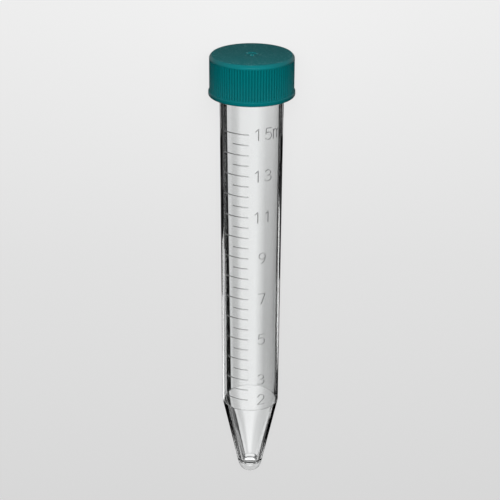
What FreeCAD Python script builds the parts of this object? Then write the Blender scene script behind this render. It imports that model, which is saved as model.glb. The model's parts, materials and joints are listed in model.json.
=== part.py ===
import FreeCAD, Part
import math
import os
import Sketcher

# A 15 ml conical centrifuge tube with its screw cap on, lying on a flat surface.
# It has three pieces: the clear moulded tube, the ribbed cap and the sealing disc inside the cap.
# Every piece is drawn upright about its own Z axis, with the tube's tip at Z = 0, and one shared
# Placement then lays the closed tube down along +Y, resting on the cap's band and on the shoulder.

# Driving dimensions in millimetres and degrees: (alias, value, meaning).
SIZES = (
    ("tube_length", 120.0, "tip to mouth rim"),
    ("rim_dia", 16.5, "outside diameter at the mouth rim"),
    ("shoulder_dia", 15.44, "outside diameter where the cone starts"),
    ("shoulder_height", 23.3, "tip to shoulder"),
    ("wall", 0.6, "wall of the straight length"),
    ("tip_dia", 6.6, "outside diameter of the round tip"),
    ("tip_ledge", 0.12, "step from the cone in to the round tip"),
    ("floor_height", 2.9, "tip to the floor of the bore"),
    ("floor_dia", 4.0, "bore diameter at its floor"),
    ("rim_chamfer", 0.2, "chamfer round the mouth rim"),
    ("first_mark_ml", 2.0, "lowest graduation"),
    ("last_mark_ml", 15.0, "highest graduation"),
    ("mark_step_ml", 0.5, "volume between graduations"),
    ("mark_rise", 0.12, "height of a graduation above the wall"),
    ("mark_width", 0.36, "width of a graduation line"),
    ("mark_root", 0.2, "how far a graduation reaches into the wall"),
    ("mark_end_angle", 5.0, "front of the tube to the graduations' common end"),
    ("long_mark_angle", 52.5, "sweep of a whole millilitre mark"),
    ("short_mark_angle", 30.5, "sweep of a half millilitre mark"),
    ("thread_lead", 3.0, "rise of the screw thread in one turn"),
    ("thread_turns", 1.5, "length of the thread in turns"),
    ("thread_drop", 6.05, "mouth rim down to the middle of the thread's lower end"),
    ("thread_rise", 0.68, "height of the tube's thread above its wall"),
    ("thread_root", 0.25, "how far the tube's thread reaches into its wall"),
    ("thread_base", 1.3, "width of a thread ridge at its base"),
    ("thread_crest", 0.6, "width of a thread ridge at its crest"),
    ("thread_offset", 1.05, "middle of the tube's ridge down to the middle of the cap's ridge"),
    ("thread_gap", 0.23, "radial gap between a crest and the wall across from it"),
    ("cap_dia", 21.66, "diameter over the cap's ribs"),
    ("cap_top", 1.2, "thickness of the cap's top"),
    ("cap_skirt", 9.32, "cap's ceiling to its open edge"),
    ("cap_crown", 1.1, "depth and width of the bevelled crown round the cap's top"),
    ("cap_lead_in", 0.5, "chamfer at the cap's open edge"),
    ("band_dia", 22.2, "diameter of the smooth band at the cap's open edge"),
    ("band_height", 1.7, "height of that band"),
    ("band_chamfer", 0.3, "chamfer under the band"),
    ("rib_count", 90.0, "ribs round the cap"),
    ("rib_depth", 0.26, "depth of the grooves between the ribs"),
    ("rib_groove", 0.5, "width of a groove at the surface"),
    ("rib_top_margin", 1.2, "cap's top to the upper end of the grooves"),
    ("rib_foot_margin", 0.15, "band to the lower end of the grooves"),
    ("gate_dia", 3.4, "diameter of the dimple round the moulding gate"),
    ("gate_nub_dia", 1.1, "diameter of the gate's nub"),
    ("gate_depth", 0.25, "depth of the dimple"),
    ("liner_thickness", 0.8, "thickness of the sealing disc"),
    ("liner_gap", 0.25, "radial gap between the sealing disc and the cap"),
)

CROWN_CORNER = 1 - math.sqrt(0.5)     # how far a quarter arc's middle lies in from its corner


class Term:
    """A size that knows its value and the spreadsheet expression that gives it."""

    def __init__(self, value, text):
        self.value = float(value)
        self.text = text

    def _join(self, other, sign, value):
        return Term(value, f"({self.text} {sign} {as_term(other).text})")

    def __add__(self, other):
        return self._join(other, "+", self.value + as_term(other).value)

    def __sub__(self, other):
        return self._join(other, "-", self.value - as_term(other).value)

    def __mul__(self, other):
        return self._join(other, "*", self.value * as_term(other).value)

    def __truediv__(self, other):
        return self._join(other, "/", self.value / as_term(other).value)

    def __pow__(self, other):
        return self._join(other, "^", self.value ** as_term(other).value)


def as_term(number):
    return number if isinstance(number, Term) else Term(number, repr(float(number)))


PI = Term(math.pi, "pi")
DEGREE = Term(1, "1 deg")
RIGHT_ANGLE = DEGREE * 90


def cosine(angle):
    return Term(math.cos(math.radians(angle.value)), f"cos({angle.text})")


def sine(angle):
    return Term(math.sin(math.radians(angle.value)), f"sin({angle.text})")


def arc_tangent(ratio):
    return Term(math.degrees(math.atan(ratio.value)), f"atan({ratio.text})")


def sheet_terms(doc):
    """Write the driving dimensions to the spreadsheet and return a Term for each."""
    sheet = doc.addObject("Spreadsheet::Sheet", "Sizes")
    terms = {}
    for row, (alias, value, meaning) in enumerate(SIZES, start=1):
        sheet.set(f"A{row}", meaning)
        sheet.set(f"B{row}", str(value))
        sheet.setAlias(f"B{row}", alias)
        terms[alias] = Term(value, f"Sizes.{alias}")
    doc.recompute()
    return terms


# ---------------------------------------------------------------- sketches and features

def new_body(doc, name):
    body = doc.addObject("PartDesign::Body", name)
    body.Label = name
    return body


def origin_feature(body, role):
    return next(item for item in body.Origin.OriginFeatures if item.Role == role)


def new_sketch(body, name, plane):
    """A sketch on one of the body's origin planes."""
    sketch = body.newObject("Sketcher::SketchObject", name)
    sketch.AttachmentSupport = [(origin_feature(body, plane), "")]
    sketch.MapMode = "FlatFace"
    return sketch


def turn_sketch(sketch, angle):
    """Turn an upright sketch clockwise about the Z axis, as seen from above."""
    rotation = FreeCAD.Rotation(FreeCAD.Vector(0, -1, 0), angle.value)
    sketch.AttachmentOffset = FreeCAD.Placement(FreeCAD.Vector(0, 0, 0), rotation)
    sketch.setExpression("AttachmentOffset.Rotation.Angle", angle.text)


def raise_sketch(sketch, height):
    """Lift a level sketch to a height above the tip."""
    sketch.AttachmentOffset = FreeCAD.Placement(FreeCAD.Vector(0, 0, height.value), FreeCAD.Rotation())
    sketch.setExpression("AttachmentOffset.Base.z", height.text)


def pin_point(sketch, geometry, end, point):
    """Hold one end of a line or arc at (across, up), each bound to the spreadsheet."""
    for axis, along, coordinate in (("X", -2, point[0]), ("Y", -1, point[1])):
        term = as_term(coordinate)
        if term.value == 0.0:
            sketch.addConstraint(Sketcher.Constraint("PointOnObject", geometry, end, along))
            continue
        index = sketch.addConstraint(
            Sketcher.Constraint("Distance" + axis, -1, 1, geometry, end, term.value))
        sketch.setExpression(f"Constraints[{index}]", term.text)


def draw_outline(sketch, points, arcs=()):
    """Draw a closed outline through points; arcs maps a side's number to its arc's centre."""
    arcs = dict(arcs)
    corners = [FreeCAD.Vector(as_term(x).value, as_term(y).value, 0) for x, y in points]
    sides = []
    for number, start in enumerate(corners):
        finish = corners[(number + 1) % len(corners)]
        if number in arcs:
            centre = FreeCAD.Vector(*(as_term(value).value for value in arcs[number]), 0)
            circle = Part.Circle(centre, FreeCAD.Vector(0, 0, 1), (start - centre).Length)
            shape = Part.ArcOfCircle(circle, circle.parameter(start), circle.parameter(finish))
        else:
            shape = Part.LineSegment(start, finish)
        sides.append(sketch.addGeometry(shape))
    for number, side in enumerate(sides):
        following = sides[(number + 1) % len(sides)]
        sketch.addConstraint(Sketcher.Constraint("Coincident", side, 2, following, 1))
    for number, side in enumerate(sides):
        pin_point(sketch, side, 1, points[number])


def draw_box(sketch, left, right, bottom, top):
    draw_outline(sketch, [(left, bottom), (right, bottom), (right, top), (left, top)])


def revolve(body, sketch, name, angle=None):
    """A full turn about the Z axis, or a clockwise sweep through angle."""
    feature = body.newObject("PartDesign::Revolution", name)
    feature.Profile = sketch
    feature.ReferenceAxis = (sketch, ["V_Axis"])
    if angle is not None:
        feature.Reversed = True
        feature.setExpression("Angle", angle.text)
    return feature


def helix(body, sketch, name, size):
    feature = body.newObject("PartDesign::AdditiveHelix", name)
    feature.Profile = sketch
    feature.ReferenceAxis = (sketch, ["V_Axis"])
    feature.Mode = "pitch-turns-angle"
    feature.setExpression("Pitch", size["thread_lead"].text)
    feature.setExpression("Turns", size["thread_turns"].text)
    return feature


def ring_edges(shape, radius, height):
    """Names of the circular edges with this radius whose centre lies on the axis at this height."""
    names = []
    for number, edge in enumerate(shape.Edges, start=1):
        if edge.Degenerated or not isinstance(edge.Curve, Part.Circle):
            continue
        if abs(edge.Curve.Radius - radius) < 1e-4 and abs(edge.Curve.Center.z - height) < 1e-4:
            names.append(f"Edge{number}")
    return names


def chamfer_ring(doc, body, name, base, radius, height, amount):
    """Chamfer the circular edge of base that has this radius and lies at this height."""
    doc.recompute()
    edges = ring_edges(base.Shape, as_term(radius).value, as_term(height).value)
    if not edges:
        raise RuntimeError(f"{name}: no edge at this radius and height")
    feature = body.newObject("PartDesign::Chamfer", name)
    feature.Base = (base, edges)
    feature.setExpression("Size", amount.text)
    return feature


# ---------------------------------------------------------------- sizes shared by the pieces

def shared_places(size):
    """Radii and heights that more than one piece is built from."""
    place = {}
    place["shoulder_r"] = size["shoulder_dia"] / 2
    place["rim_r"] = size["rim_dia"] / 2
    place["draft"] = ((place["rim_r"] - place["shoulder_r"])
                      / (size["tube_length"] - size["shoulder_height"]))
    place["bore_r"] = place["shoulder_r"] - size["wall"]
    place["floor_r"] = size["floor_dia"] / 2
    place["tip_r"] = size["tip_dia"] / 2
    place["ceiling"] = size["tube_length"] + size["liner_thickness"]
    place["cap_top"] = place["ceiling"] + size["cap_top"]
    place["cap_edge"] = place["ceiling"] - size["cap_skirt"]
    place["cap_r"] = size["cap_dia"] / 2
    place["band_r"] = size["band_dia"] / 2
    place["thread_crest_r"] = place["rim_r"] + size["thread_rise"]
    place["cap_bore_r"] = place["thread_crest_r"] + size["thread_gap"]
    place["cap_crest_r"] = place["rim_r"] + size["thread_gap"]
    place["thread_start"] = size["tube_length"] - size["thread_drop"]
    place["cap_thread_start"] = place["thread_start"] - size["thread_offset"]
    return place


def wall_radius(size, place, height):
    """Outside radius of the drafted wall at a height above the tip."""
    return place["shoulder_r"] + place["draft"] * (height - size["shoulder_height"])


def mark_height(size, place, millilitres):
    """Height to which this volume fills the tube: the cone first, then the drafted bore."""
    cone = (PI / 3 * (size["shoulder_height"] - size["floor_height"])
            * (place["bore_r"] ** 2 + place["bore_r"] * place["floor_r"] + place["floor_r"] ** 2))
    above = millilitres * 1000 - cone
    cubed = place["bore_r"] ** 3 + place["draft"] * above * 3 / PI
    return size["shoulder_height"] + (cubed ** (as_term(1) / 3) - place["bore_r"]) / place["draft"]


def thread_outline(sketch, size, root_r, crest_r, height):
    """A trapezoid ridge with its base at root_r and its crest at crest_r."""
    half_base = size["thread_base"] / 2
    half_crest = size["thread_crest"] / 2
    points = [(root_r, height - half_base), (crest_r, height - half_crest),
              (crest_r, height + half_crest), (root_r, height + half_base)]
    draw_outline(sketch, points if root_r.value < crest_r.value else points[::-1])


# ---------------------------------------------------------------- the clear tube

def make_tube(doc, size, place):
    body = new_body(doc, "tube")
    profile = new_sketch(body, "tube_profile", "XZ_Plane")
    draw_outline(profile, [
        (0, 0),
        (place["tip_r"], place["tip_r"]),
        (place["tip_r"] + size["tip_ledge"], place["tip_r"]),
        (place["shoulder_r"], size["shoulder_height"]),
        (place["rim_r"], size["tube_length"]),
        (place["rim_r"] - size["wall"], size["tube_length"]),
        (place["bore_r"], size["shoulder_height"]),
        (place["floor_r"], size["floor_height"]),
        (0, size["floor_height"]),
    ], arcs={0: (0, place["tip_r"])})
    shell = revolve(body, profile, "tube_wall")
    chamfer_ring(doc, body, "rim_edge", shell, place["rim_r"], size["tube_length"], size["rim_chamfer"])
    doc.recompute()
    thread = new_sketch(body, "tube_thread_profile", "XZ_Plane")
    thread_outline(thread, size, place["rim_r"] - size["thread_root"],
                   place["thread_crest_r"], place["thread_start"])
    helix(body, thread, "tube_thread", size)
    add_marks(body, size, place, "long_marks", "long_mark_angle", 0)
    add_marks(body, size, place, "short_marks", "short_mark_angle", 1)
    return body


def add_marks(body, size, place, name, sweep, first):
    """Raised graduation lines, from mark number first on and every second one after it."""
    count = round(((size["last_mark_ml"] - size["first_mark_ml"]) / size["mark_step_ml"]).value)
    sketch = new_sketch(body, name + "_profile", "XZ_Plane")
    turn_sketch(sketch, RIGHT_ANGLE + size["mark_end_angle"] * DEGREE)
    half = size["mark_width"] / 2
    for number in range(first, count + 1, 2):
        height = mark_height(size, place, size["first_mark_ml"] + size["mark_step_ml"] * number)
        surface = wall_radius(size, place, height)
        draw_box(sketch, surface - size["mark_root"], surface + size["mark_rise"],
                 height - half, height + half)
    revolve(body, sketch, name, size[sweep])


# ---------------------------------------------------------------- the sealing disc in the cap

def make_liner(doc, size, place):
    body = new_body(doc, "seal_liner")
    radius = place["cap_bore_r"] - size["liner_gap"]
    profile = new_sketch(body, "liner_profile", "XZ_Plane")
    draw_box(profile, 0, radius, size["tube_length"], place["ceiling"])
    revolve(body, profile, "liner_disc")
    return body


# ---------------------------------------------------------------- the screw cap

def make_cap(doc, size, place):
    body = new_body(doc, "screw_cap")
    band_top = place["cap_edge"] + size["band_height"]
    dimple = place["cap_top"] - size["gate_depth"]
    bevel = size["cap_crown"] * CROWN_CORNER
    profile = new_sketch(body, "cap_profile", "XZ_Plane")
    draw_outline(profile, [
        (0, place["ceiling"]),
        (place["cap_bore_r"], place["ceiling"]),
        (place["cap_bore_r"], place["cap_edge"]),
        (place["band_r"], place["cap_edge"]),
        (place["band_r"], band_top),
        (place["cap_r"], band_top),
        (place["cap_r"], place["cap_top"] - size["cap_crown"]),
        (place["cap_r"] - bevel, place["cap_top"] - bevel),
        (place["cap_r"] - size["cap_crown"], place["cap_top"]),
        (size["gate_dia"] / 2, place["cap_top"]),
        (size["gate_dia"] / 2, dimple),
        (size["gate_nub_dia"] / 2, dimple),
        (size["gate_nub_dia"] / 2, place["cap_top"]),
        (0, place["cap_top"]),
    ])
    shell = revolve(body, profile, "cap_shell")
    foot = chamfer_ring(doc, body, "band_edge", shell,
                        place["band_r"], place["cap_edge"], size["band_chamfer"])
    chamfer_ring(doc, body, "lead_in", foot,
                 place["cap_bore_r"], place["cap_edge"], size["cap_lead_in"])
    doc.recompute()
    thread = new_sketch(body, "cap_thread_profile", "XZ_Plane")
    thread_outline(thread, size, place["cap_bore_r"] + size["thread_root"],
                   place["cap_crest_r"], place["cap_thread_start"])
    helix(body, thread, "cap_thread", size)
    cut_grooves(doc, body, size, place, band_top + size["rib_foot_margin"])
    return body


def cut_grooves(doc, body, size, place, foot):
    """V grooves all round the skirt leave the ribs that a hand turns the cap by."""
    sketch = new_sketch(body, "groove_profile", "XY_Plane")
    raise_sketch(sketch, foot)
    bottom = place["cap_r"] - size["rib_depth"]
    outside = place["cap_r"] + size["rib_depth"]
    draw_outline(sketch, [(bottom, 0), (outside, size["rib_groove"]), (outside, size["rib_groove"] * -1)])
    groove = body.newObject("PartDesign::Pocket", "groove")
    groove.Profile = sketch
    groove.Reversed = True
    height = place["cap_top"] - size["rib_top_margin"] - foot
    groove.setExpression("Length", height.text)
    doc.recompute()
    pattern = body.newObject("PartDesign::PolarPattern", "grooves")
    pattern.Originals = [groove]
    pattern.Axis = (origin_feature(body, "Z_Axis"), [""])
    pattern.Angle = 360
    pattern.setExpression("Occurrences", size["rib_count"].text)
    body.Tip = pattern


# ---------------------------------------------------------------- lying down, checking and writing

def lay_down(bodies, size, place):
    """Rest the closed tube on its shoulder and on the cap's band, its middle over the origin."""
    reach = place["cap_edge"] + size["band_chamfer"] - size["shoulder_height"]
    tilt = arc_tangent((place["band_r"] - place["shoulder_r"]) / reach)
    height = place["shoulder_r"] * cosine(tilt) - size["shoulder_height"] * sine(tilt)
    low_end = place["tip_r"] * cosine(tilt) - place["tip_r"]
    high_end = place["cap_top"] * cosine(tilt) + (place["cap_r"] - size["cap_crown"]) * sine(tilt)
    middle = (low_end + high_end) / -2
    angle = RIGHT_ANGLE - tilt
    for body in bodies:
        rotation = FreeCAD.Rotation(FreeCAD.Vector(-1, 0, 0), angle.value)
        body.Placement = FreeCAD.Placement(FreeCAD.Vector(0, middle.value, height.value), rotation)
        body.setExpression("Placement.Rotation.Angle", angle.text)
        body.setExpression("Placement.Base.y", middle.text)
        body.setExpression("Placement.Base.z", height.text)


def check_document(doc, bodies):
    for item in doc.Objects:
        if "Invalid" in item.State or "Error" in item.State:
            raise RuntimeError(f"{item.Name} failed: {item.State}")
    for body in bodies:
        if body.Shape.isNull() or not body.Shape.isValid() or len(body.Shape.Solids) != 1:
            raise RuntimeError(f"{body.Label} isn't one valid solid")


def main():
    doc = FreeCAD.newDocument("conical_tube")
    size = sheet_terms(doc)
    place = shared_places(size)
    bodies = [make(doc, size, place) for make in (make_tube, make_liner, make_cap)]
    lay_down(bodies, size, place)
    doc.recompute()
    check_document(doc, bodies)
    os.makedirs("parts", exist_ok=True)
    for body in bodies:
        body.Shape.exportStep(f"parts/{body.Label}.step")
        box = body.Shape.BoundBox
        print(f"{body.Label}: {body.Shape.Volume:.1f} mm3, x {box.XMin:.2f} {box.XMax:.2f}, "
              f"y {box.YMin:.2f} {box.YMax:.2f}, z {box.ZMin:.2f} {box.ZMax:.2f}")


main()
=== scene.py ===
import json
import math

import bmesh
import bpy
from bpy.props import FloatProperty, FloatVectorProperty, IntProperty, PointerProperty
from mathutils import Matrix, Vector


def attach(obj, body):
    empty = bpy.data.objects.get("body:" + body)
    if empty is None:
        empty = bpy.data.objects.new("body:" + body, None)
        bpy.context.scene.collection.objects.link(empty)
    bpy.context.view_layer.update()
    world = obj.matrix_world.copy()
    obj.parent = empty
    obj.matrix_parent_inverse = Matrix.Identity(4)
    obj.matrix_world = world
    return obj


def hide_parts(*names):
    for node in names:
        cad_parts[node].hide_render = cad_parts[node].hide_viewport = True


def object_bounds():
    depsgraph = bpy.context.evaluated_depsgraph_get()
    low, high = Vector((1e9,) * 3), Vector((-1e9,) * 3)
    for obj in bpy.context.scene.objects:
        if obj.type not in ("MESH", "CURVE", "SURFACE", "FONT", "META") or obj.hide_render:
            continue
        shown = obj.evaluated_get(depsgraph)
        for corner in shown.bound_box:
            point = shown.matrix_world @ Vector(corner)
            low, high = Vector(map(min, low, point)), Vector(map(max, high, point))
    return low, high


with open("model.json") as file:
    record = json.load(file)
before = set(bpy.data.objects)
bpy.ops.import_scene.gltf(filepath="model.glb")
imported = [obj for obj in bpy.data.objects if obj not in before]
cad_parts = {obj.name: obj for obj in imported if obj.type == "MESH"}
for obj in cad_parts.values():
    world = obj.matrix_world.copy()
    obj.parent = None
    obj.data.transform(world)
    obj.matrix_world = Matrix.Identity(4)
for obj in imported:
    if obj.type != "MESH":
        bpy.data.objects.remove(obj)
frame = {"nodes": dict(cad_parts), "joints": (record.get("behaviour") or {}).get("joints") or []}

bl_info = {
    "name": "Conical tube with screw cap",
    "version": (1, 0, 0),
    "blender": (4, 5, 0),
    "location": "View3D > Sidebar > Conical tube",
    "description": "Builds a clear graduated conical tube, its ribbed screw cap and a small studio",
    "category": "Add Mesh",
}

MM = 0.001
ML = 1e-6
SAME_PLACE = 1e-7        # points nearer to each other than this, in metres, are one point
CAD_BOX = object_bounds()

# ---------------------------------------------------------------- the tube's own upright frame
# Every piece is drawn upright, with the tube's tip at the origin, its axis along +Z and its
# graduated front towards -Y. LAY carries that frame to where the tube lies.

TURN = next(joint for joint in frame["joints"] if joint["name"] == "cap_turn")
AXIS = Vector(TURN["axis"]).normalized()
ON_AXIS = Vector(TURN["pos_m"])


def reach(node):
    """Lowest and highest place of a node along the tube's axis, counted from ON_AXIS."""
    heights = [(vertex.co - ON_AXIS).dot(AXIS) for vertex in frame["nodes"][node].data.vertices]
    return min(heights), max(heights)


TIP, RIM = reach("tube")
CAP_EDGE, CAP_TOP = reach("screw_cap")
ACROSS = Vector((1, 0, 0))
LAY = Matrix((ACROSS, AXIS.cross(ACROSS), AXIS)).transposed().to_4x4()
LAY.translation = ON_AXIS + AXIS * TIP


# ---------------------------------------------------------------- sizes and colours

def length(name, description, default):
    return FloatProperty(name=name, description=description, default=default, unit="LENGTH", precision=5)


def turn(name, description, default):
    return FloatProperty(name=name, description=description, default=math.radians(default), unit="ROTATION")


def colour(name, description, default):
    return FloatVectorProperty(name=name, description=description, default=default, subtype="COLOR",
                               size=3, min=0.0, max=1.0)


class TubeSizes(bpy.types.PropertyGroup):
    length: length("Length", "Tip to mouth rim", RIM - TIP)
    rim_radius: length("Rim radius", "Outside radius at the mouth rim", 8.25 * MM)
    shoulder_radius: length("Shoulder radius", "Outside radius where the cone starts", 7.72 * MM)
    shoulder_height: length("Shoulder height", "Tip to shoulder", 23.3 * MM)
    wall: length("Wall", "Wall of the straight length", 0.6 * MM)
    tip_radius: length("Tip radius", "Radius of the round tip", 3.3 * MM)
    tip_ledge: length("Tip ledge", "Step from the cone in to the round tip", 0.12 * MM)
    floor_height: length("Floor height", "Tip to the floor of the bore", 2.9 * MM)
    floor_radius: length("Floor radius", "Radius of the bore at its floor", 2.0 * MM)
    shoulder_round: length("Shoulder round", "Rounding of the shoulder on the outside", 0.5 * MM)
    seam: length("Seam", "Radius of the fine bead inside the bore at the shoulder", 0.11 * MM)
    floor_round: length("Floor round", "Rounding where the bore meets its floor", 0.5 * MM)
    rim_round: length("Rim round", "Rounding of the mouth rim", 0.18 * MM)
    segments: IntProperty(name="Segments", description="Facets round the tube", default=240, min=24)
    tint: colour("Tint", "Colour of the clear plastic", (0.985, 0.992, 0.992))
    # Painted shade: a grey tint that makes the raised graduations and figures read darker than the clear
    # wall.
    raised_shade_tint: colour("Raised tint", "Colour of the raised graduations and figures", (0.72, 0.72, 0.72))


class MarkSizes(bpy.types.PropertyGroup):
    first_ml: FloatProperty(name="First mark", description="Lowest graduation in millilitres", default=2.0)
    last_ml: FloatProperty(name="Last mark", description="Highest graduation in millilitres", default=15.0)
    bead: length("Bead radius", "Radius of the bead that makes a raised line", 0.19 * MM)
    seat: length("Seat depth", "Middle of the bead below the wall's surface", 0.07 * MM)
    start: turn("Start", "Front of the tube to the graduations' common end", 5.0)
    long_sweep: turn("Long sweep", "Sweep of a whole millilitre mark", 52.5)
    short_sweep: turn("Short sweep", "Sweep of a half millilitre mark", 30.5)
    figure_height: length("Figure height", "Height of a figure", 3.0 * MM)
    figure_width: length("Figure width", "Width of a figure", 2.0 * MM)
    figure_bead: length("Figure bead", "Radius of the bead that makes a figure", 0.15 * MM)
    figure_pitch: length("Figure pitch", "Middle of one figure to the next", 2.9 * MM)
    figure_place: turn("Figure place", "Front of the tube to the middle of a number", 22.0)


class ThreadSizes(bpy.types.PropertyGroup):
    lead: length("Lead", "Rise of the thread in one turn", 3.0 * MM)
    turns: FloatProperty(name="Turns", description="Length of the thread in turns", default=1.5)
    drop: length("Drop", "Mouth rim down to the middle of the thread's lower end", 6.05 * MM)
    offset: length("Offset", "Middle of the tube's ridge down to the cap's", 1.05 * MM)
    rise: length("Rise", "Height of the tube's thread above its wall", 0.68 * MM)
    root: length("Root", "How far a thread reaches into its wall", 0.25 * MM)
    base: length("Base", "Width of a ridge at its base", 1.3 * MM)
    crest: length("Crest", "Width of a ridge at its crest", 0.6 * MM)
    gap: length("Gap", "Gap between a crest and the wall across from it", 0.23 * MM)
    run_out: turn("Run-out", "Turn over which a thread rises from nothing", 20.0)


class CapSizes(bpy.types.PropertyGroup):
    radius: length("Radius", "Radius over the ribs", 10.83 * MM)
    crown: length("Crown", "Bevel between the top and the side", 0.6 * MM)
    ceiling: length("Ceiling", "Thickness of the top", 1.18 * MM)
    band_radius: length("Band radius", "Radius of the smooth band at the open edge", 11.1 * MM)
    band_height: length("Band height", "Height of that band", 1.2 * MM)
    band_round: length("Band round", "Rounding of the band's edges", 0.3 * MM)
    lead_in: length("Lead-in", "Chamfer inside the open edge", 0.5 * MM)
    ribs: IntProperty(name="Ribs", description="Ribs round the cap", default=90, min=3)
    rib_depth: length("Rib depth", "Depth of the grooves between the ribs", 0.26 * MM)
    rib_top: length("Rib top", "Top of the cap to the upper end of the grooves", 1.0 * MM)
    rib_foot: length("Rib foot", "Band to the lower end of the grooves", 0.02 * MM)
    gate_radius: length("Gate radius", "Radius of the dimple round the moulding gate", 1.7 * MM)
    gate_depth: length("Gate depth", "Depth of that dimple", 0.25 * MM)
    nub_radius: length("Nub radius", "Radius of the gate's nub", 0.55 * MM)
    plastic: colour("Plastic", "Colour of the cap", (0.0, 0.125, 0.135))
    # Painted glints: the lighter specks on the top stand in for sparkles of light on its grain.
    painted_glint: colour("Speck", "Colour of the specks in the top's grain", (0.11, 0.3, 0.3))
    liner: colour("Liner", "Colour of the sealing disc", (0.8, 0.8, 0.76))


class StudioSizes(bpy.types.PropertyGroup):
    lens: FloatProperty(name="Lens", description="Focal length in millimetres", default=105.1)
    pitch: turn("Pitch", "How far the camera looks down along the tube", 23.62)
    distance: length("Distance", "Camera to the point that it looks at", 389.5 * MM)
    aim: length("Aim", "Tip to the point on the axis that the camera looks at", 68.08 * MM)
    side_step: length("Side step", "Camera to the left of the tube's middle plane", 0.26 * MM)
    roll: turn("Roll", "Roll of the camera", 0.27)
    floor: colour("Floor", "Colour of the floor", (0.5, 0.5, 0.5))
    table_drop: length("Table drop", "Floor down to the light table", 300.0 * MM)


# ---------------------------------------------------------------- meshes

def corner(before, point, after, radius, steps):
    """An arc of this radius in place of a corner."""
    if radius <= 0:
        return [point]
    into, out = (point - before).normalized(), (after - point).normalized()
    bend = into.angle(out)
    if bend < 1e-4:
        return [point]
    back = radius * math.tan(bend / 2)
    start, finish = point - into * back, point + out * back
    inward = (out - into).normalized()
    centre = point + inward * (radius / math.cos(bend / 2))
    side = (start - centre).normalized()
    far = (finish - centre).normalized()
    return [centre + side.slerp(far, step / steps) * radius for step in range(steps + 1)]


def rounded(points, radii, steps=6):
    """An open outline whose corners are rounded; radii maps a point's number to its radius."""
    points = [Vector(point) for point in points]
    outline = []
    for number, point in enumerate(points):
        if number in radii:
            outline += corner(points[number - 1], point, points[number + 1], radii[number], steps)
        else:
            outline.append(point)
    return outline


def arc(centre, radius, start, finish, steps):
    angles = (math.radians(start + (finish - start) * step / steps) for step in range(steps + 1))
    return [Vector((centre[0] + radius * math.cos(a), centre[1] + radius * math.sin(a))) for a in angles]


def finish_mesh(bm, name):
    """Turn a bmesh into a mesh whose closed surface faces outwards."""
    if bm.calc_volume(signed=True) < 0:
        bmesh.ops.reverse_faces(bm, faces=bm.faces)
    mesh = bpy.data.meshes.new(name)
    bm.to_mesh(mesh)
    bm.free()
    return mesh


def lathe(name, outline, segments):
    """A closed solid turned from an outline of (radius, height) that starts and ends on the axis."""
    bm = bmesh.new()
    rings = []
    for radius, height in outline:
        if radius < SAME_PLACE:
            rings.append([bm.verts.new((0, 0, height))])
            continue
        rings.append([bm.verts.new((radius * math.cos(a), radius * math.sin(a), height))
                      for a in (math.tau * n / segments for n in range(segments))])
    for low, high in zip(rings, rings[1:]):
        for n in range(segments):
            m = (n + 1) % segments
            corners = [low[n % len(low)], low[m % len(low)], high[m % len(high)], high[n % len(high)]]
            bm.faces.new(list(dict.fromkeys(corners)))
    return finish_mesh(bm, name)


def sweep(name, sections):
    """A closed solid through a row of sections with the same number of corners."""
    bm = bmesh.new()
    loops = [[bm.verts.new(point) for point in section] for section in sections]
    for low, high in zip(loops, loops[1:]):
        for n in range(len(low)):
            m = (n + 1) % len(low)
            bm.faces.new((low[n], low[m], high[m], high[n]))
    bm.faces.new(loops[0][::-1])
    bm.faces.new(loops[-1])
    return finish_mesh(bm, name)


THREAD_STEPS = 72        # sections in one turn of a thread
THREAD_END = 0.02        # share of its height that a thread keeps at its very ends


def thread_ridge(name, sizes, wall, crest, start):
    """One screw thread: a trapezoid carried round a helix, rising from nothing at both ends."""
    outward = math.copysign(1, crest - wall)
    steps = round(sizes.turns * THREAD_STEPS)
    sections = []
    for step in range(steps + 1):
        turned = math.tau * sizes.turns * step / steps
        left = math.tau * sizes.turns - turned
        share = min(1.0, turned / sizes.run_out, left / sizes.run_out)
        top = wall + (crest - wall) * max(share, THREAD_END)
        root = wall - outward * sizes.root
        height = start + sizes.lead * turned / math.tau
        corners = [(root, -sizes.base / 2), (wall, -sizes.base / 2), (top, -sizes.crest / 2),
                   (top, sizes.crest / 2), (wall, sizes.base / 2), (root, sizes.base / 2)]
        sections.append([(r * math.cos(turned), r * math.sin(turned), height + z) for r, z in corners])
    return sweep(name, sections)


def new_object(name, mesh):
    obj = bpy.data.objects.new(name, mesh)
    bpy.context.scene.collection.objects.link(obj)
    return obj


def plain_mesh(obj):
    """The object's mesh with its modifiers applied; the modifiers are removed."""
    bpy.context.view_layer.update()
    evaluated = obj.evaluated_get(bpy.context.evaluated_depsgraph_get())
    mesh = bpy.data.meshes.new_from_object(evaluated)
    obj.modifiers.clear()
    return mesh


def union(obj, *others):
    """Fuse other meshes to an object's mesh, so that one closed surface is left."""
    for other in others:
        modifier = obj.modifiers.new("Union", "BOOLEAN")
        modifier.operation = "UNION"
        modifier.solver = "MANIFOLD"
        modifier.object = other
    obj.data = plain_mesh(obj)
    for other in others:
        bpy.data.objects.remove(other)


def smooth(mesh, angle):
    """Smooth shading with sharp edges past an angle."""
    mesh.polygons.foreach_set("use_smooth", [True] * len(mesh.polygons))
    mesh.set_sharp_from_angle(angle=math.radians(angle))


# ---------------------------------------------------------------- nodes

def add_node(tree, kind, links=None, **settings):
    """A node with its settings and inputs; an input is a value or another node's output."""
    made = tree.nodes.new(kind)
    for key, value in settings.items():
        setattr(made, key, value)
    for key, value in (links or {}).items():
        if isinstance(value, bpy.types.NodeSocket):
            tree.links.new(value, made.inputs[key])
        else:
            made.inputs[key].default_value = value
    return made


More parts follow.
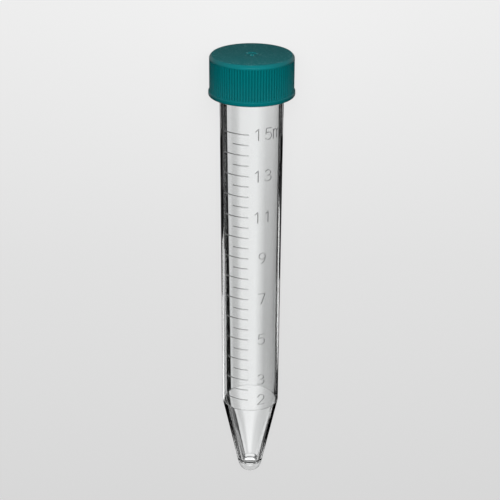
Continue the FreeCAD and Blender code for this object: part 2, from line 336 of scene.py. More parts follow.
class Tree:
    """A geometry node tree whose inputs keep their names and identifiers."""

    def __init__(self, name):
        self.group = bpy.data.node_groups.new(name, "GeometryNodeTree")
        self.sockets = {}
        self.group.interface.new_socket("Geometry", in_out="INPUT", socket_type="NodeSocketGeometry")
        self.group.interface.new_socket("Geometry", in_out="OUTPUT", socket_type="NodeSocketGeometry")
        self.start = self.group.nodes.new("NodeGroupInput")
        self.end = self.group.nodes.new("NodeGroupOutput")

    def input(self, name, kind):
        socket = self.group.interface.new_socket(name, in_out="INPUT", socket_type="NodeSocket" + kind)
        self.sockets[name] = socket.identifier
        return self.start.outputs[name]

    def node(self, kind, links=None, **settings):
        return add_node(self.group, kind, links, **settings)

    def maths(self, operation, first, second):
        return self.node("ShaderNodeMath", {0: first, 1: second}, operation=operation).outputs[0]

    def finish(self, geometry, material):
        realized = self.node("GeometryNodeRealizeInstances", {"Geometry": geometry})
        painted = self.node("GeometryNodeSetMaterial",
                            {"Geometry": realized.outputs["Geometry"], "Material": material})
        self.group.links.new(painted.outputs["Geometry"], self.end.inputs["Geometry"])

    def apply(self, obj, **values):
        modifier = obj.modifiers.new(self.group.name, "NODES")
        modifier.node_group = self.group
        for name, identifier in self.sockets.items():
            modifier[identifier] = values[name]
        obj.data = plain_mesh(obj)


MARK_STEPS = 36          # points along a graduation
MARK_CORNERS = 14        # corners round its bead


def mark_tree():
    """Raised arcs round the wall, one for each step of volume, at the height to which it fills the tube."""
    tree = Tree("Graduation marks")
    count = tree.input("count", "Int")
    first = tree.input("first_volume", "Float")
    step = tree.input("volume_step", "Float")
    cone = tree.input("cone_volume", "Float")
    bore = tree.input("bore_radius", "Float")
    draft = tree.input("draft", "Float")
    shoulder = tree.input("shoulder_height", "Float")
    radius = tree.input("ring_radius", "Float")
    start = tree.input("start", "Float")
    arc_sweep = tree.input("sweep", "Float")
    bead = tree.input("bead", "Float")
    material = tree.input("material", "Material")
    index = tree.node("GeometryNodeInputIndex").outputs[0]
    volume = tree.maths("ADD", first, tree.maths("MULTIPLY", index, step))
    above = tree.maths("MULTIPLY", tree.maths("SUBTRACT", volume, cone),
                       tree.maths("MULTIPLY", draft, 3 / math.pi))
    cubed = tree.maths("ADD", tree.maths("POWER", bore, 3.0), above)
    rise = tree.maths("DIVIDE", tree.maths("SUBTRACT", tree.maths("POWER", cubed, 1 / 3), bore), draft)
    ring = tree.maths("ADD", radius, tree.maths("MULTIPLY", draft, rise))
    place = tree.node("ShaderNodeCombineXYZ", {2: tree.maths("ADD", shoulder, rise)}).outputs[0]
    scale = tree.node("ShaderNodeCombineXYZ", {0: ring, 1: ring, 2: ring}).outputs[0]
    points = tree.node("GeometryNodeMeshLine", {"Count": count, "Offset": (0, 0, 0)}).outputs[0]
    placed = tree.node("GeometryNodeSetPosition", {"Geometry": points, "Position": place}).outputs[0]
    line = tree.node("GeometryNodeCurveArc", {"Resolution": MARK_STEPS, "Radius": 1.0, "Start Angle": start,
                                              "Sweep Angle": arc_sweep}, mode="RADIUS").outputs[0]
    lines = tree.node("GeometryNodeInstanceOnPoints",
                      {"Points": placed, "Instance": line, "Scale": scale}).outputs[0]
    real = tree.node("GeometryNodeRealizeInstances", {"Geometry": lines}).outputs[0]
    section = tree.node("GeometryNodeCurvePrimitiveCircle",
                        {"Resolution": MARK_CORNERS, "Radius": bead}).outputs[0]
    beads = tree.node("GeometryNodeCurveToMesh",
                      {"Curve": real, "Profile Curve": section, "Fill Caps": True}).outputs[0]
    tree.finish(beads, material)
    return tree


def rib_tree():
    """One rib's wedge of the cap, repeated all the way round and welded."""
    tree = Tree("Cap ribs")
    count = tree.input("count", "Int")
    weld = tree.input("weld", "Float")
    material = tree.input("material", "Material")
    index = tree.node("GeometryNodeInputIndex").outputs[0]
    turned = tree.maths("MULTIPLY", index, tree.maths("DIVIDE", math.tau, count))
    rotation = tree.node("ShaderNodeCombineXYZ", {2: turned}).outputs[0]
    points = tree.node("GeometryNodeMeshLine", {"Count": count, "Offset": (0, 0, 0)}).outputs[0]
    wedges = tree.node("GeometryNodeInstanceOnPoints", {"Points": points, "Instance": tree.start.outputs[0],
                                                        "Rotation": rotation}).outputs[0]
    real = tree.node("GeometryNodeRealizeInstances", {"Geometry": wedges}).outputs[0]
    welded = tree.node("GeometryNodeMergeByDistance", {"Geometry": real, "Distance": weld}).outputs[0]
    tree.finish(welded, material)
    return tree


# ---------------------------------------------------------------- materials

class Paint:
    """A node material built round one Principled shader."""

    def __init__(self, name, **sockets):
        self.material = bpy.data.materials.new(name)
        self.material.use_nodes = True
        self.tree = self.material.node_tree
        self.shader = self.tree.nodes["Principled BSDF"]
        for key, value in sockets.items():
            self.shader.inputs[key.replace("_", " ")].default_value = value
        self.place = self.node("ShaderNodeTexCoord").outputs["Object"]

    def node(self, kind, links=None, **settings):
        return add_node(self.tree, kind, links, **settings)

    def maths(self, operation, first, second):
        return self.node("ShaderNodeMath", {0: first, 1: second}, operation=operation).outputs[0]

    def noise(self, scale, detail=2.0):
        made = self.node("ShaderNodeTexNoise", {"Vector": self.place, "Scale": scale, "Detail": detail})
        return made.outputs[0]

    def spread(self, value, low, high):
        """Carry a value from 0..1 to low..high."""
        return self.node("ShaderNodeMapRange", {"Value": value, "To Min": low, "To Max": high}).outputs[0]

    def bump(self, height, distance, strength=1.0):
        made = self.node("ShaderNodeBump", {"Height": height, "Distance": distance, "Strength": strength})
        self.link(made.outputs[0], "Normal")

    def link(self, output, socket):
        self.tree.links.new(output, self.shader.inputs[socket])

    def mix(self, share, first, second):
        return self.node("ShaderNodeMixShader", {0: share, 1: first, 2: second}).outputs[0]

    def surface(self, output):
        self.tree.links.new(output, self.tree.nodes["Material Output"].inputs["Surface"])


def rgba(value):
    return (*value, 1.0)


def clear_plastic(name, tint):
    """Glass-clear plastic with the faint unevenness of a moulding."""
    paint = Paint(name, Base_Color=rgba(tint), Transmission_Weight=1.0, IOR=1.59, Roughness=0.0)
    unevenness = paint.noise(120.0, 1.0)
    paint.bump(unevenness, 0.002 * MM)
    return paint.material


def cap_plastic(sizes):
    """Satin plastic with a fine cast grain on its flat top, painted shade that darkens the grooves, and
    painted glints as lighter specks on the top.
    """
    paint = Paint("cap_plastic", IOR=1.5, Specular_IOR_Level=0.25)
    grain = paint.node("ShaderNodeAttribute", attribute_name="grain").outputs["Fac"]
    groove = paint.node("ShaderNodeAttribute", attribute_name="groove").outputs["Fac"]
    fine = paint.noise(5200.0, 3.0)
    mottle = paint.spread(paint.noise(900.0, 3.0), 0.94, 1.06)
    # Painted shade: the grooves' base colour is darkened to three quarters where they are deepest.
    painted_groove_shade = paint.spread(groove, 1.0, 0.75)
    mottle_and_groove_shade = paint.maths("MULTIPLY", mottle, painted_groove_shade)
    shade = paint.node("ShaderNodeVectorMath", {0: sizes.plastic, 1: mottle_and_groove_shade}, operation="MULTIPLY")
    # Painted glints: sparse lighter specks mixed into the top's base colour, where the grain mask allows.
    painted_glint_mask = paint.node("ShaderNodeMapRange", {"Value": paint.noise(3400.0, 1.0), "From Min": 0.62,
                                               "From Max": 0.68}).outputs[0]
    painted_glint_colour = paint.node("ShaderNodeMix", {"Factor": paint.maths("MULTIPLY", painted_glint_mask, grain),
                                            "A": shade.outputs[0], "B": rgba(sizes.painted_glint)},
                          data_type="RGBA").outputs["Result"]
    paint.link(painted_glint_colour, "Base Color")
    paint.link(paint.spread(grain, 0.34, 0.5), "Roughness")
    paint.bump(paint.maths("MULTIPLY", fine, grain), 0.05 * MM)
    return paint.material


def liner_foam(sizes):
    """Matt foam with fine cells."""
    paint = Paint("liner_foam", Base_Color=rgba(sizes.liner), Roughness=0.7)
    cells = paint.node("ShaderNodeTexVoronoi", {"Vector": paint.place, "Scale": 3500.0}).outputs["Distance"]
    paint.bump(cells, 0.03 * MM, 0.5)
    return paint.material


# ---------------------------------------------------------------- the tube

def wall_draft(tube):
    return (tube.rim_radius - tube.shoulder_radius) / (tube.length - tube.shoulder_height)


def wall_radius(tube, height):
    return tube.shoulder_radius + wall_draft(tube) * (height - tube.shoulder_height)


def cone_volume(tube):
    top, floor = tube.shoulder_radius - tube.wall, tube.floor_radius
    return (math.pi / 3 * (tube.shoulder_height - tube.floor_height)
            * (top ** 2 + top * floor + floor ** 2))


def fill_height(tube, volume):
    """Height to which a volume fills the tube."""
    bore, draft = tube.shoulder_radius - tube.wall, wall_draft(tube)
    cubed = bore ** 3 + draft * (volume - cone_volume(tube)) * 3 / math.pi
    return tube.shoulder_height + (cubed ** (1 / 3) - bore) / draft


def tube_outline(tube):
    """Up the outside from the tip, over the rim and down the bore to its floor."""
    bore = tube.shoulder_radius - tube.wall
    ledge = tube.tip_radius + tube.tip_ledge
    ledge_round = tube.tip_ledge * 0.4
    tip = arc((0, tube.tip_radius), tube.tip_radius, -90, 0, 24)
    seam = arc((bore, tube.shoulder_height), tube.seam, 90, 270, 8)
    points = [
        (tube.tip_radius, tube.tip_radius),
        (ledge, tube.tip_radius),
        (tube.shoulder_radius, tube.shoulder_height),
        (tube.rim_radius, tube.length),
        (tube.rim_radius - tube.wall, tube.length),
        *seam,
        (tube.floor_radius, tube.floor_height),
        (0, tube.floor_height),
    ]
    radii = {1: ledge_round, 2: tube.shoulder_round, 3: tube.rim_round, 4: tube.rim_round,
             5 + len(seam): tube.floor_round}
    return tip[:-1] + rounded(points, radii)


# A figure is a few strokes in a box one wide and one high. A stroke is a run of points, and
# (middle, half width and half height, start and finish angle) stands for an arc.
FIGURES = {
    "1": [[(0.2, 0.78), (0.55, 1.0)], [(0.55, 1.0), (0.55, 0.0)]],
    "2": [[((0.5, 0.7), (0.46, 0.3), 165, -38), (0.04, 0.0)], [(0.04, 0.0), (1.0, 0.0)]],
    "3": [[((0.46, 0.75), (0.42, 0.25), 150, -90)], [((0.46, 0.26), (0.5, 0.26), 90, -150)]],
    "5": [[(0.92, 1.0), (0.18, 1.0)], [(0.18, 1.0), (0.1, 0.54)], [((0.46, 0.32), (0.48, 0.32), 140, -145)]],
    "7": [[(0.04, 1.0), (0.96, 1.0)], [(0.96, 1.0), (0.38, 0.0)]],
    "9": [[((0.5, 0.7), (0.44, 0.3), 0, 180)], [((0.5, 0.7), (0.44, 0.3), 180, 360)],
          [((0.2, 0.7), (0.74, 0.7), 0, -75)]],
    "m": [[(-0.2, 0.0), (-0.2, 0.8)], [((0.12, 0.5), (0.32, 0.3), 180, 0), (0.44, 0.0)],
          [((0.76, 0.5), (0.32, 0.3), 180, 0), (1.08, 0.0)]],
    "l": [[(0.3, 1.0), (0.3, 0.0)]],
}
LABELS = ("2", "3", "5", "7", "9", "11", "13", "15ml")
ARC_STEP = 12            # degrees between the points of an arc in a figure
STROKE_STEP = 0.4 * MM   # longest straight piece of a stroke
BEAD_CORNERS = 12        # corners round a figure's bead
BEAD_END = (30, 60, 86)  # degrees from its middle at which a bead's round end has its sections


def stroke_points(stroke):
    """The points of one stroke in its unit box."""
    points = []
    for item in stroke:
        if len(item) == 2:
            points.append(Vector(item))
            continue
        middle, half, start, finish = item
        steps = max(4, round(abs(finish - start) / ARC_STEP))
        points += [Vector((middle[0] + half[0] * p.x, middle[1] + half[1] * p.y))
                   for p in arc((0, 0), 1.0, start, finish, steps)]
    return points


def evenly(points, step):
    """Extra points on the long straight runs, so that they bend round the wall."""
    fine = [points[0]]
    for start, finish in zip(points, points[1:]):
        pieces = max(1, math.ceil((finish - start).length / step))
        fine += [start.lerp(finish, n / pieces) for n in range(1, pieces + 1)]
    return fine


def bead(name, tube, marks, flat):
    """A round bead with round ends that follows (distance round the wall, height) points."""
    thick = marks.figure_bead
    path, outward = [], []
    for along, height in flat:
        radius = wall_radius(tube, height)
        angle = along / radius
        side = Vector((math.sin(angle), -math.cos(angle), 0))
        path.append(side * (radius - marks.seat) + Vector((0, 0, height)))
        outward.append(side)
    stations = []
    for n, point in enumerate(path):
        ahead = (path[min(n + 1, len(path) - 1)] - path[max(n - 1, 0)]).normalized()
        stations.append((point, outward[n], ahead, 1.0))
    for end, way in ((0, -1), (-1, 1)):
        point, side, ahead, _ = stations[end]
        caps = [(point + ahead * way * thick * math.sin(math.radians(a)), side, ahead,
                 math.cos(math.radians(a))) for a in BEAD_END]
        stations = caps[::-1] + stations if way < 0 else stations + caps
    sections = []
    for point, side, ahead, share in stations:
        across = ahead.cross(side).normalized()
        sections.append([point + (side * math.cos(a) + across * math.sin(a)) * thick * share
                         for a in (math.tau * k / BEAD_CORNERS for k in range(BEAD_CORNERS))])
    return new_object(name, sweep(name, sections))


def figure_beads(tube, marks):
    """The raised figures beside their graduations, each number centred on the same line."""
    beads = []
    for label in LABELS:
        number = "".join(letter for letter in label if letter.isdigit())
        height = fill_height(tube, int(number) * ML)
        first = wall_radius(tube, height) * marks.figure_place - marks.figure_pitch * (len(number) - 1) / 2
        for place, letter in enumerate(label):
            middle = first + place * marks.figure_pitch
            for stroke in FIGURES[letter]:
                flat = [Vector(((p.x - 0.5) * marks.figure_width + middle,
                                (p.y - 0.5) * marks.figure_height + height)) for p in stroke_points(stroke)]
                beads.append(bead("figure_" + label, tube, marks, evenly(flat, STROKE_STEP)))
    union(beads[0], *beads[1:])
    return beads[0]


def mark_beads(tube, marks, tree, material, first, sweep_angle):
    """One series of graduations, a millilitre apart."""
    obj = new_object("marks", bpy.data.meshes.new("marks"))
    tree.apply(
        obj, count=int(marks.last_ml - first) + 1, first_volume=first * ML, volume_step=ML,
        cone_volume=cone_volume(tube), bore_radius=tube.shoulder_radius - tube.wall,
        draft=wall_draft(tube), shoulder_height=tube.shoulder_height,
        ring_radius=tube.shoulder_radius - marks.seat,
        start=-math.pi / 2 - marks.start, sweep=-sweep_angle, bead=marks.bead, material=material)
    return obj


FACING_OUT = 0.999       # cosine of the angle within which a face still belongs to the round wall
WALL_SKIN = 0.004 * MM   # distance within which a point still lies on it
RAISED = 0.01 * MM       # height from which a face belongs to a raised mark


def true_normals(mesh, tube):
    """Give the drafted wall its exact normals, which the facets and the fused beads would disturb."""
    draft = wall_draft(tube)
    low = tube.shoulder_height + tube.shoulder_round
    high = tube.length - 2 * tube.rim_round
    normals = [Vector(item.vector) for item in mesh.corner_normals]
    for face in mesh.polygons:
        middle = face.center
        outward = Vector((middle.x, middle.y, 0)).normalized()
        if face.normal.dot(outward) < FACING_OUT:
            continue
        for loop in face.loop_indices:
            point = mesh.vertices[mesh.loops[loop].vertex_index].co
            radius = math.hypot(point.x, point.y)
            if low < point.z < high and abs(radius - wall_radius(tube, point.z)) < WALL_SKIN:
                normals[loop] = Vector((point.x / radius, point.y / radius, -draft)).normalized()
    mesh.normals_split_custom_set(normals)


def shade_raised_beads(mesh, tube, marks):
    """Give the beads that stand out of the wall their own grey-tinted clear material, painted shade that
    makes the raised lines read darker.
    """
    top = fill_height(tube, marks.last_ml * ML) + marks.figure_height
    for face in mesh.polygons:
        middle = face.center
        above = math.hypot(middle.x, middle.y) - wall_radius(tube, middle.z)
        raised = above > RAISED and tube.shoulder_height < middle.z < top
        face.material_index = 1 if raised else 0


class CONICAL_OT_tube(bpy.types.Operator):
    """Build the clear tube with its thread, graduations and figures"""
    bl_idname = "conical.tube"
    bl_label = "Tube"

    def execute(self, context):
        scene = context.scene
        tube, marks, thread = scene.conical_tube, scene.conical_marks, scene.conical_thread
        material = clear_plastic("clear_plastic", tube.tint)
        piece = new_object("clear_tube", lathe("clear_tube", tube_outline(tube), tube.segments))
        ridge = thread_ridge("thread", thread, tube.rim_radius, tube.rim_radius + thread.rise,
                             tube.length - thread.drop)
        tree = mark_tree()
        union(piece, new_object("thread", ridge),
              mark_beads(tube, marks, tree, material, marks.first_ml, marks.long_sweep),
              mark_beads(tube, marks, tree, material, marks.first_ml + 0.5, marks.short_sweep),
              figure_beads(tube, marks))
        smooth(piece.data, angle=35)
        true_normals(piece.data, tube)
        piece.data.materials.clear()
        piece.data.materials.append(material)
        # Painted shade: the raised beads get the grey-tinted clear plastic.
        piece.data.materials.append(clear_plastic("raised_plastic_shaded", tube.raised_shade_tint))
        shade_raised_beads(piece.data, tube, marks)
        piece.data.transform(LAY)
        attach(piece, "tube")
        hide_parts("tube")
        return {"FINISHED"}


# ---------------------------------------------------------------- the cap

CEILING_ROUND = 0.2 * MM               # between the ceiling and the bore
CROWN_ROUNDS = (0.8 * MM, 0.3 * MM)    # below and above the bevel
GATE_MARGIN = 1.0 * MM                 # the last of the flat top before the dimple
GATE_ROUND = 0.15 * MM                 # at the dimple's rim and foot
NUB_SLOPE = 0.1 * MM                   # how much wider the nub is at its foot
NUB_ROUND = 0.08 * MM
TOP_SKIN = 0.05 * MM                   # what lies less than this below the top has its grain
WEDGE_COLUMNS = 8                      # facets across one rib and its two half grooves
GROOVE_POWER = 1.6                     # more makes the grooves narrower and the ribs' backs broader
WELD = 0.002 * MM                      # distance within which two wedges are joined


def cap_bore(thread, tube):
    return tube.rim_radius + thread.rise + thread.gap


def cap_outline(cap, thread, tube):
    """(point, groove share, grain share) from the middle of the ceiling round to the middle of the top."""
    edge, top = CAP_EDGE - TIP, CAP_TOP - TIP
    ceiling = top - cap.ceiling
    bore = cap_bore(thread, tube)
    band_top = edge + cap.band_height
    inner = rounded([(0, ceiling), (bore, ceiling), (bore, edge + cap.lead_in),
                     (bore + cap.lead_in, edge), (cap.band_radius, edge), (cap.band_radius, band_top),
                     (cap.radius, band_top), (cap.radius, band_top + cap.rib_foot)],
                    {1: CEILING_ROUND, 4: cap.band_round, 5: cap.band_round * 0.7}, 4)
    rows = [(point, 0.0, 0.0) for point in inner]
    foot, head = band_top + cap.rib_foot, top - cap.rib_top
    rows += [(Vector((cap.radius, foot + 0.4 * cap.rib_depth)), 1.0, 0.0),
             (Vector((cap.radius, head - cap.rib_depth)), 1.0, 0.0),
             (Vector((cap.radius, head)), 0.0, 0.0)]
    flat_end = (cap.gate_radius + GATE_MARGIN, top)
    crown = rounded([(cap.radius, head), (cap.radius, top - cap.crown), (cap.radius - cap.crown, top),
                     flat_end], {1: CROWN_ROUNDS[0], 2: CROWN_ROUNDS[1]}, 5)[1:-1]
    rows += [(point, 0.0, 1.0 if point.y > top - TOP_SKIN else 0.0) for point in crown]
    gate_floor = top - cap.gate_depth
    dimple = rounded([flat_end, (cap.gate_radius, top), (cap.gate_radius - cap.gate_depth, gate_floor),
                      (cap.nub_radius + NUB_SLOPE, gate_floor), (cap.nub_radius, top), (0, top)],
                     {1: GATE_ROUND, 2: GATE_ROUND, 4: NUB_ROUND}, 3)
    rows += [(point, 0.0, 1.0) for point in dimple]
    return rows


def cap_wedge(cap, thread, tube):
    """One rib's share of the cap: a rounded rib with half a groove on each side."""
    bm = bmesh.new()
    grain = bm.verts.layers.float.new("grain")
    deep = bm.verts.layers.float.new("groove")
    pitch = math.tau / cap.ribs
    rings = []
    for point, groove, grained in cap_outline(cap, thread, tube):
        ring = []
        for n in range(WEDGE_COLUMNS + 1):
            share = n / WEDGE_COLUMNS
            depth = groove * (0.5 + 0.5 * math.cos(math.tau * share)) ** GROOVE_POWER
            radius, angle = max(0.0, point[0] - cap.rib_depth * depth), pitch * (share - 0.5)
            vertex = bm.verts.new((radius * math.cos(angle), radius * math.sin(angle), point[1]))
            vertex[grain] = grained
            # The groove share shapes each groove and, through the groove attribute, also darkens its colour
            # as painted shade.
            vertex[deep] = depth
            ring.append(vertex)
        rings.append(ring)
    for low, high in zip(rings, rings[1:]):
        for n in range(WEDGE_COLUMNS):
            bm.faces.new((low[n], low[n + 1], high[n + 1], high[n]))
    bmesh.ops.remove_doubles(bm, verts=bm.verts, dist=SAME_PLACE)
    mesh = bpy.data.meshes.new("screw_cap")
    bm.to_mesh(mesh)
    bm.free()
    return mesh


class CONICAL_OT_cap(bpy.types.Operator):
    """Build the ribbed screw cap with the thread inside it"""
    bl_idname = "conical.cap"
    bl_label = "Screw cap"

    def execute(self, context):
        scene = context.scene
        tube, thread, cap = scene.conical_tube, scene.conical_thread, scene.conical_cap
        material = cap_plastic(cap)
        piece = new_object("ribbed_cap", cap_wedge(cap, thread, tube))
        rib_tree().apply(piece, count=cap.ribs, weld=WELD, material=material)
        bm = bmesh.new()
        bm.from_mesh(piece.data)
        piece.data = finish_mesh(bm, "ribbed_cap")
        ridge = thread_ridge("thread", thread, cap_bore(thread, tube), tube.rim_radius + thread.gap,
                             tube.length - thread.drop - thread.offset)
        union(piece, new_object("thread", ridge))
        smooth(piece.data, angle=40)
        piece.data.materials.clear()
        piece.data.materials.append(material)
        piece.data.transform(LAY)
        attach(piece, "screw_cap")
        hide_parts("screw_cap")
        return {"FINISHED"}


class CONICAL_OT_liner(bpy.types.Operator):
    """Finish the sealing disc inside the cap"""
    bl_idname = "conical.liner"
    bl_label = "Sealing disc"

    def execute(self, context):
        disc = frame["nodes"]["seal_liner"]
        disc.data.materials.clear()
        disc.data.materials.append(liner_foam(context.scene.conical_cap))
        return {"FINISHED"}


# ---------------------------------------------------------------- the studio

def lay_direction(vector):
    return (LAY.to_3x3() @ Vector(vector)).normalized()


def add_camera(studio):
    data = bpy.data.cameras.new("camera")
    data.lens = studio.lens
    data.clip_start, data.clip_end = 0.01, 10.0
    camera = bpy.data.objects.new("camera", data)
    bpy.context.scene.collection.objects.link(camera)
    pitch, roll = studio.pitch, studio.roll
    back = lay_direction((0, -math.cos(pitch), math.sin(pitch)))
    up = lay_direction((0, math.sin(pitch), math.cos(pitch)))
    right = up.cross(back)
    leaning = up * math.cos(roll) - right * math.sin(roll)
    turned = Matrix((leaning.cross(back), leaning, back)).transposed()
    aim = LAY @ Vector((-studio.side_step, 0, studio.aim))
    camera.matrix_world = Matrix.Translation(aim + back * studio.distance) @ turned.to_4x4()
    bpy.context.scene.camera = camera


FLOOR_HALF = 3.0         # metres from the middle of the floor to its sides
FLOOR_GAP = 0.02 * MM    # object down to the floor
FLOOR_GLOW = 0.85        # share of the floor's brightness that is its own and takes no shadow
FLOOR_BOUNCE = 0.1       # grey of the floor as the object's diffuse light meets it
# Painted light: the floor's own glow follows a ramp of greys, darker towards the tip's end and brighter
# towards the cap's end.
FLOOR_GREYS = ((-0.08, 0.76), (0.0, 0.835), (0.09, 0.975))    # (metres along the tube, grey)

# Lamps: place, the point that it faces, width and height, all in metres, and watts.
LAMPS = {
    "key": ((0, 0.31, 0.68), (0, 0.05, 0), (0.2, 0.2), 2.8),
    "near": ((0, 0.076, 0.057), (0, 0.055, 0.022), (0.02, 0.02), 0.016),
}

# Greys across the light table, as (millimetres from the tube's middle plane, grey): TABLE_HIGH at the
# table's two ends and TABLE_LOW in its middle. TABLE_SHARE says, as (metres along the tube, share),
# how far the table follows TABLE_LOW there.
TABLE_HIGH = ((-56, 0.9), (-36, 0.85), (-28, 0.75), (-20, 0.75), (-12, 0.97), (6, 1.0), (20, 0.85),
              (82, 0.72))
TABLE_LOW = ((-56, 0.82), (-36, 0.8), (-29, 0.58), (-20, 0.62), (-12, 0.95), (6, 1.0), (20, 0.56),
             (82, 0.45))
TABLE_SHARE = ((-0.261, 0.2), (-0.211, 0.85), (-0.161, 1.0), (-0.111, 0.7), (-0.051, 0.0))

# The light table and the cards beside it: corners in millimetres, and the cards' brightness.
TABLE = ((-56, -47), (82, -47), (82, -274), (-60, -274), (-57, -267), (-44, -250), (-38, -208))
CARDS = {
    "end": (((-60, -274), (54, -274), (54, -361), (-50, -361), (-50, -290), (-84, -290)), 0.93),
    "right_strip": (((54, -274), (82, -274), (133, -309), (241, -405), (241, -421), (130, -326),
                     (54, -283)), 0.85),
    "left_strip": (((-67, -283), (-120, -326), (-120, -306), (-67, -268)), 0.3),
    "left_low": (((-96, -142), (-250, -181), (-261, -251), (-110, -221), (-76, -207)), 1.0),
    "left_middle": (((-120, -81), (-250, -109), (-250, -164), (-120, -132)), 0.06),
    "left_high": (((-125, -31), (-230, -31), (-230, -77), (-125, -65)), 0.8),
    "right_low": (((160, -148), (250, -170), (250, -211), (190, -211), (158, -186)), 1.3),
    "right_middle": (((165, -85), (250, -101), (250, -159), (165, -133)), 0.15),
    "right_high": (((130, -31), (250, -31), (250, -83), (150, -68)), 0.8),
    "tip": (((-170, -701), (170, -701), (170, -541), (-170, -541)), 1.3),
    "tip_edge": (((-170, -501), (170, -501), (170, -441), (-170, -441)), 0.35),
    "cap_haze": (((-150, 60), (150, 60), (150, 330), (-150, 330)), 0.12),
}


def ramp(paint, value, stops):
    """A grey ramp through stops of (value, grey)."""
    low, high = stops[0][0], stops[-1][0]
    share = paint.node("ShaderNodeMapRange", {"Value": value, "From Min": low, "From Max": high}).outputs[0]
    made = paint.node("ShaderNodeValToRGB", {"Fac": share})
    elements = made.color_ramp.elements
    while len(elements) < len(stops):
        elements.new(0.5)
    for element, (place, grey) in zip(elements, stops):
        element.position = (place - low) / (high - low)
        element.color = (grey, grey, grey, 1.0)
    return made.outputs["Color"]


def sheet(name, corners, level):
    """A flat face with these corners at this height."""
    mesh = bpy.data.meshes.new(name)
    mesh.from_pydata([(x, y, level) for x, y in corners], [], [tuple(range(len(corners)))])
    return new_object(name, mesh)


def glow(name, colour, strength):
    """A material that only shines."""
    paint = Paint(name)
    shine = paint.node("ShaderNodeEmission", {"Color": colour(paint), "Strength": strength})
    paint.surface(shine.outputs[0])
    return paint.material


def white(paint):
    return (1, 1, 1, 1)


def table_colour(paint):
    """Brightness across the light table, which falls off at its sides in its middle length."""
    place = paint.node("ShaderNodeSeparateXYZ", {0: paint.place}).outputs
    across = paint.maths("DIVIDE", place[0], MM)
    high = ramp(paint, across, TABLE_HIGH)
    low = ramp(paint, across, TABLE_LOW)
    share = ramp(paint, place[1], TABLE_SHARE)
    mixed = paint.node("ShaderNodeMix", {"Factor": share, "A": high, "B": low}, data_type="RGBA")
    return mixed.outputs["Result"]


def add_backlight(studio):
    """A light table and cards far below, which only what is seen through clear plastic or mirrored shows."""
    pieces = {"light_table": (TABLE, table_colour, 1.0)}
    for name, (corners, grey) in CARDS.items():
        pieces["card_" + name] = (corners, white, grey)
    for name, (corners, colour_of, strength) in pieces.items():
        piece = sheet(name, [(x * MM, y * MM) for x, y in corners], -studio.table_drop)
        piece.data.materials.append(glow(name, colour_of, strength))
        piece.visible_diffuse = False
        piece.visible_transmission = name != "card_cap_haze"


def add_floor(studio):
    """A pale floor that clear plastic looks through to the backlight."""
    half = FLOOR_HALF
    floor = sheet("floor", [(-half, -half), (half, -half), (half, half), (-half, half)],
                  CAD_BOX[0].z - FLOOR_GAP)
    paint = Paint("floor", Base_Color=rgba(studio.floor), Roughness=0.9, Specular_IOR_Level=0.0)
    along = paint.node("ShaderNodeSeparateXYZ", {0: paint.place}).outputs[1]
    own_light = paint.node("ShaderNodeEmission",
                           {"Color": ramp(paint, along, FLOOR_GREYS), "Strength": 1.0}).outputs[0]
    bounce = (FLOOR_BOUNCE, FLOOR_BOUNCE, FLOOR_BOUNCE, 1)
    dim = paint.node("ShaderNodeBsdfDiffuse", {"Color": bounce}).outputs[0]
    open_floor = paint.node("ShaderNodeBsdfTransparent").outputs[0]
    light = paint.node("ShaderNodeLightPath").outputs
    seen = paint.mix(FLOOR_GLOW, paint.shader.outputs[0], own_light)
    solid = paint.mix(light["Is Camera Ray"], dim, seen)
    beyond = paint.maths("MAXIMUM", light["Is Glossy Ray"], light["Is Transmission Ray"])
    paint.surface(paint.mix(beyond, solid, open_floor))
    floor.data.materials.append(paint.material)


def add_lamp(name, place, aim, size, power):
    """A soft lamp that gives diffuse light only, so that it never shows in the plastic."""
    data = bpy.data.lights.new(name, "AREA")
    data.shape = "RECTANGLE"
    data.size, data.size_y = size
    data.energy = power
    lamp = bpy.data.objects.new(name, data)
    bpy.context.scene.collection.objects.link(lamp)
    place, aim = Vector(place), Vector(aim)
    lamp.visible_glossy = False
    lamp.visible_transmission = False
    lamp.matrix_world = Matrix.Translation(place) @ (place - aim).to_track_quat("Z", "Y").to_matrix().to_4x4()


# The world's dark directions. Each pair is the range over which the world turns from dark to pale or
# back, of a direction's part along the tube (negative towards the tip) or of its part upwards.
SQUARE = (-0.22, -0.14)          # along: every direction above it is pale
SLANTED = (-0.66, -0.6)          # along: below it, only steep and rising directions are dark
NEARLY_ALONG = (-0.88, -0.82)    # along: every direction below it is pale
STEEP = (-0.45, -0.39)           # upwards: directions below it are steep
RISING = (-0.02, 0.04)           # upwards: directions above it are rising


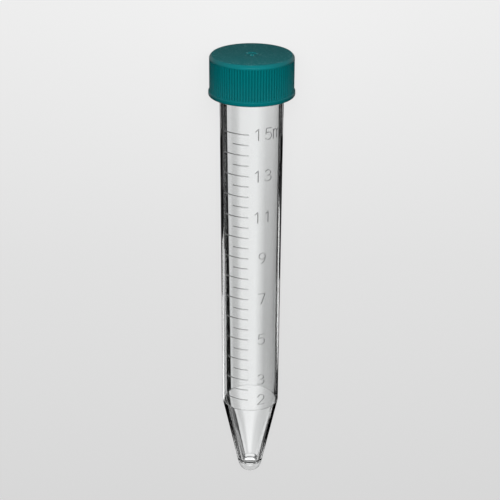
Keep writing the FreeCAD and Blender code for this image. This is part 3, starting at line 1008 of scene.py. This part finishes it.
def set_world(soft, seen, pale, dark):
    """An even sky. Mirrored and refracted rays see it dark where they leave along the tube towards its
    tip, which gives the clear wall its dark edges in the camera's view, and pale everywhere else."""
    world = bpy.data.worlds.new("studio")
    world.use_nodes = True
    tree = world.node_tree

    def between(value, low, high, at_low, at_high):
        """Carry a value from low..high to at_low..at_high, where either end may be another output."""
        return add_node(tree, "ShaderNodeMapRange",
                        {"Value": value, "From Min": low, "From Max": high, "To Min": at_low,
                         "To Max": at_high}).outputs[0]

    place = add_node(tree, "ShaderNodeTexCoord").outputs["Generated"]
    direction = add_node(tree, "ShaderNodeSeparateXYZ", {0: place}).outputs
    along, height = direction[1], direction[2]
    shallow = between(height, *RISING, between(height, *STEEP, 0.0, 1.0), 0.0)
    level = between(along, *NEARLY_ALONG, 1.0, shallow)
    lengthwise = between(along, *SLANTED, level, 0.0)
    crosswise = between(along, *SQUARE, lengthwise, 1.0)
    far = between(crosswise, 0.0, 1.0, dark, pale)
    light = add_node(tree, "ShaderNodeLightPath").outputs
    strength = between(light["Is Glossy Ray"], 0.0, 1.0, soft, far)
    strength = between(light["Is Transmission Ray"], 0.0, 1.0, strength, far)
    strength = between(light["Is Camera Ray"], 0.0, 1.0, strength, seen)
    background = tree.nodes["Background"]
    background.inputs["Color"].default_value = (1, 1, 1, 1)
    tree.links.new(strength, background.inputs["Strength"])
    bpy.context.scene.world = world


class CONICAL_OT_stage(bpy.types.Operator):
    """Set up the floor, the lamps, the world and the camera"""
    bl_idname = "conical.stage"
    bl_label = "Studio"

    def execute(self, context):
        studio = context.scene.conical_studio
        add_floor(studio)
        add_backlight(studio)
        for name, lamp in LAMPS.items():
            add_lamp(name, *lamp)
        set_world(soft=0.06, seen=0.85, pale=0.6, dark=0.004)
        add_camera(studio)
        context.scene.view_settings.view_transform = "Standard"
        return {"FINISHED"}


# ---------------------------------------------------------------- the add-on

class CONICAL_PT_panel(bpy.types.Panel):
    """Sizes and buttons for the conical tube"""
    bl_label = "Conical tube"
    bl_idname = "CONICAL_PT_panel"
    bl_space_type = "VIEW_3D"
    bl_region_type = "UI"
    bl_category = "Conical tube"

    def draw(self, context):
        for operator in OPERATORS:
            self.layout.operator(operator.bl_idname)
        for name in GROUPS:
            box = self.layout.box()
            group = getattr(context.scene, name)
            for field in group.__annotations__:
                box.prop(group, field)


GROUPS = {
    "conical_tube": TubeSizes,
    "conical_marks": MarkSizes,
    "conical_thread": ThreadSizes,
    "conical_cap": CapSizes,
    "conical_studio": StudioSizes,
}
OPERATORS = (CONICAL_OT_tube, CONICAL_OT_cap, CONICAL_OT_liner, CONICAL_OT_stage)


def register():
    for item in (*GROUPS.values(), *OPERATORS, CONICAL_PT_panel):
        bpy.utils.register_class(item)
    for name, group in GROUPS.items():
        setattr(bpy.types.Scene, name, PointerProperty(type=group))


def unregister():
    for name in GROUPS:
        delattr(bpy.types.Scene, name)
    for item in reversed((*GROUPS.values(), *OPERATORS, CONICAL_PT_panel)):
        bpy.utils.unregister_class(item)


def main():
    register()
    bpy.ops.conical.stage()
    bpy.ops.conical.tube()
    bpy.ops.conical.cap()
    bpy.ops.conical.liner()


if __name__ == "__main__":
    main()
